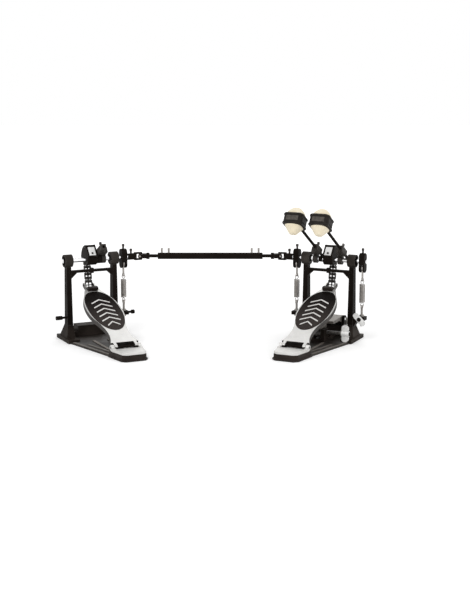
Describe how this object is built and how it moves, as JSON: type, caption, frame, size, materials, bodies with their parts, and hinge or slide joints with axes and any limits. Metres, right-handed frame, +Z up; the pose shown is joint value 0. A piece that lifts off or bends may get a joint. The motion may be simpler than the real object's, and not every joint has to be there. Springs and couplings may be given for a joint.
{
  "type": "double bass drum pedal",
  "caption": "Bass drum pedal with a main and a slave footboard, chain driven cams, sprung axles, felt beaters and a jointed drive shaft between the pedals.",
  "frame": {"origin": "on the floor, under the middle of the main pedal's axle", "axes": "+X along the drive shaft from the slave pedal to the main pedal, +Y to the drum, +Z up"},
  "size_m": [0.6882, 0.313, 0.3045],
  "materials": {
    "black_paint": "semi-gloss black paint on castings",
    "silver_cast": "bright satin cast metal",
    "steel": "plain steel",
    "chrome": "polished",
    "clamp_grey": "grey textured coat",
    "grip_black": "matte moulded grip",
    "black_plastic": "matte black moulding",
    "felt": "pressed cream felt"
  },
  "bodies": {
    "main_base": {"main_base_plate": "black_paint", "main_frame": "black_paint", "main_bearings": "steel", "main_heel_block": "black_paint", "main_heel_plate": "silver_cast", "main_tension_rods": "steel", "main_fasteners": "chrome", "hoop_seat": "grip_black"},
    "main_board": {"main_footboard": "silver_cast", "main_grip_pad": "grip_black"},
    "main_chain": {"main_chain": "steel"},
    "main_axle": {"main_shaft": "black_paint", "main_cam": "black_paint", "main_cam_chain": "steel", "main_rocker": "black_paint", "main_beater_holder": "clamp_grey", "main_key_bolts": "chrome"},
    "main_spring": {"main_spring": "steel"},
    "main_spring_link": {"main_spring_link": "steel"},
    "main_beater": {"main_beater_rod": "chrome", "main_beater_head": "black_plastic", "main_beater_felt": "felt"},
    "hoop_jaw": {"hoop_jaw": "clamp_grey"},
    "hoop_screw": {"hoop_screw": "chrome"},
    "second_axle": {"second_shaft": "black_paint", "second_rocker": "black_paint", "second_beater_holder": "clamp_grey", "second_key_bolts": "chrome", "second_yoke": "black_paint"},
    "second_spring": {"second_spring": "steel"},
    "second_spring_link": {"second_spring_link": "steel"},
    "second_beater": {"second_beater_rod": "chrome", "second_beater_head": "black_plastic", "second_beater_felt": "felt"},
    "second_cross": {"second_cross": "black_paint"},
    "drive_tube": {"linkage_tube": "black_paint", "linkage_bolts": "chrome", "linkage_right_rod": "black_paint"},
    "slave_base": {"slave_base_plate": "black_paint", "slave_frame": "black_paint", "slave_bearings": "steel", "slave_heel_block": "black_paint", "slave_heel_plate": "silver_cast", "slave_tension_rods": "steel", "slave_fasteners": "chrome"},
    "left_rod": {"linkage_left_rod": "black_paint"},
    "slave_cross": {"slave_cross": "black_paint"},
    "slave_axle": {"slave_shaft": "black_paint", "slave_cam": "black_paint", "slave_cam_chain": "steel", "slave_rocker": "black_paint", "slave_beater_holder": "clamp_grey", "slave_key_bolts": "chrome", "slave_yoke": "black_paint"},
    "slave_board": {"slave_footboard": "silver_cast", "slave_grip_pad": "grip_black"},
    "slave_chain": {"slave_chain": "steel"},
    "slave_spring": {"slave_spring": "steel"},
    "slave_spring_link": {"slave_spring_link": "steel"}
  },
  "joints": [
    {"name": "main_shaft_turn", "type": "hinge", "parent": "main_base", "child": "main_axle", "pos_m": [0, 0, 0.176], "axis": [-0.9033, 0.4289, 0], "range_deg": [0, 58], "stiffness_Nm_per_rad": 0.3, "springref_deg": -28.65},
    {"name": "main_footboard_press", "type": "hinge", "parent": "main_base", "child": "main_board", "pos_m": [-0.0875, -0.18428, 0.0205], "axis": [-0.9033, 0.4289, 0], "range_deg": [0, 7.2]},
    {"name": "main_chain_swing", "type": "hinge", "parent": "main_board", "child": "main_chain", "pos_m": [0.00679, 0.01429, 0.11588], "axis": [-0.9033, 0.4289, 0], "range_deg": [-16, 0]},
    {"name": "main_spring_swing", "type": "hinge", "parent": "main_base", "child": "main_spring", "pos_m": [0.06956, -0.03303, 0.0754], "axis": [-0.9033, 0.4289, 0], "range_deg": [-8.8, 0]},
    {"name": "main_spring_stretch", "type": "slide", "parent": "main_spring", "child": "main_spring_link", "axis": [0, 0, 1], "range_m": [0, 0.0072], "deforming": ["main_spring"]},
    {"name": "main_beater_height", "type": "slide", "parent": "main_axle", "child": "main_beater", "axis": [-0.3715, -0.7823, 0.5], "range_m": [-0.02, 0.03]},
    {"name": "hoop_screw_turn", "type": "hinge", "parent": "main_base", "child": "hoop_screw", "pos_m": [-0.02574, -0.0542, 0.025], "axis": [0.9033, -0.4289, 0], "range_deg": [0, 180]},
    {"name": "hoop_jaw_tilt", "type": "hinge", "parent": "main_base", "child": "hoop_jaw", "pos_m": [0.00944, 0.01987, 0.0405], "axis": [-0.9033, 0.4289, 0], "range_deg": [0, 6.8]},
    {"name": "second_shaft_turn", "type": "hinge", "parent": "main_base", "child": "second_axle", "pos_m": [0, 0, 0.176], "axis": [-0.9033, 0.4289, 0], "range_deg": [0, 58], "stiffness_Nm_per_rad": 0.6, "springref_deg": -28.65},
    {"name": "second_spring_swing", "type": "hinge", "parent": "main_base", "child": "second_spring", "pos_m": [-0.06956, 0.03303, 0.0754], "axis": [-0.9033, 0.4289, 0], "range_deg": [-8.8, 0]},
    {"name": "second_spring_stretch", "type": "slide", "parent": "second_spring", "child": "second_spring_link", "axis": [0, 0, 1], "range_m": [0, 0.0072], "deforming": ["second_spring"]},
    {"name": "second_beater_height", "type": "slide", "parent": "second_axle", "child": "second_beater", "axis": [-0.3715, -0.7823, 0.5], "range_m": [-0.02, 0.03]},
    {"name": "second_cross_turn", "type": "hinge", "parent": "second_axle", "child": "second_cross", "pos_m": [-0.10659, 0.05061, 0.176], "axis": [0, 0, 1], "range_deg": [-9.6, 0]},
    {"name": "tube_turn", "type": "hinge", "parent": "main_base", "child": "drive_tube", "pos_m": [-0.10659, 0.05061, 0.176], "axis": [-1, 0, 0], "range_deg": [0, 55]},
    {"name": "linkage_slide", "type": "slide", "parent": "main_base", "child": "slave_base", "axis": [1, 0, 0], "range_m": [-0.05, 0.015]},
    {"name": "slave_shaft_turn", "type": "hinge", "parent": "slave_base", "child": "slave_axle", "pos_m": [-0.528, 0, 0.176], "axis": [-0.9033, -0.4289, 0], "range_deg": [0, 58]},
    {"name": "slave_cross_turn", "type": "hinge", "parent": "slave_axle", "child": "slave_cross", "pos_m": [-0.42141, 0.05061, 0.176], "axis": [0, 0, 1], "range_deg": [0, 9.6]},
    {"name": "left_rod_turn", "type": "hinge", "parent": "slave_base", "child": "left_rod", "pos_m": [-0.42141, 0.05061, 0.176], "axis": [-1, 0, 0], "range_deg": [0, 55]},
    {"name": "slave_footboard_press", "type": "hinge", "parent": "slave_base", "child": "slave_board", "pos_m": [-0.4405, -0.18428, 0.0205], "axis": [-0.9033, -0.4289, 0], "range_deg": [0, 7.2]},
    {"name": "slave_chain_swing", "type": "hinge", "parent": "slave_board", "child": "slave_chain", "pos_m": [-0.53478, 0.01429, 0.11588], "axis": [-0.9033, -0.4289, 0], "range_deg": [-16, 0]},
    {"name": "slave_spring_swing", "type": "hinge", "parent": "slave_base", "child": "slave_spring", "pos_m": [-0.45844, 0.03303, 0.0754], "axis": [-0.9033, -0.4289, 0], "range_deg": [-8.8, 0]},
    {"name": "slave_spring_stretch", "type": "slide", "parent": "slave_spring", "child": "slave_spring_link", "axis": [0, 0, 1], "range_m": [0, 0.0072], "deforming": ["slave_spring"]}
  ],
  "couplings": [
    {"joint": "main_footboard_press", "follows": "main_shaft_turn", "ratio": 0.1189},
    {"joint": "main_chain_swing", "follows": "main_shaft_turn", "ratio": -0.26545},
    {"joint": "main_spring_swing", "follows": "main_shaft_turn", "ratio": -0.14365},
    {"joint": "main_spring_stretch", "follows": "main_shaft_turn", "m_per_rad": 0.006572},
    {"joint": "hoop_jaw_tilt", "follows": "hoop_screw_turn", "ratio": 0.037778},
    {"joint": "second_spring_swing", "follows": "second_shaft_turn", "ratio": -0.14365},
    {"joint": "second_spring_stretch", "follows": "second_shaft_turn", "m_per_rad": 0.006572},
    {"joint": "second_cross_turn", "follows": "second_shaft_turn", "ratio": -0.16129},
    {"joint": "tube_turn", "follows": "second_shaft_turn", "ratio": 0.94166},
    {"joint": "slave_shaft_turn", "follows": "second_shaft_turn", "ratio": 1},
    {"joint": "slave_cross_turn", "follows": "second_shaft_turn", "ratio": 0.16129},
    {"joint": "left_rod_turn", "follows": "second_shaft_turn", "ratio": 0.94166},
    {"joint": "slave_footboard_press", "follows": "second_shaft_turn", "ratio": 0.1189},
    {"joint": "slave_chain_swing", "follows": "second_shaft_turn", "ratio": -0.26545},
    {"joint": "slave_spring_swing", "follows": "second_shaft_turn", "ratio": -0.14365},
    {"joint": "slave_spring_stretch", "follows": "second_shaft_turn", "m_per_rad": 0.006572}
  ]
}
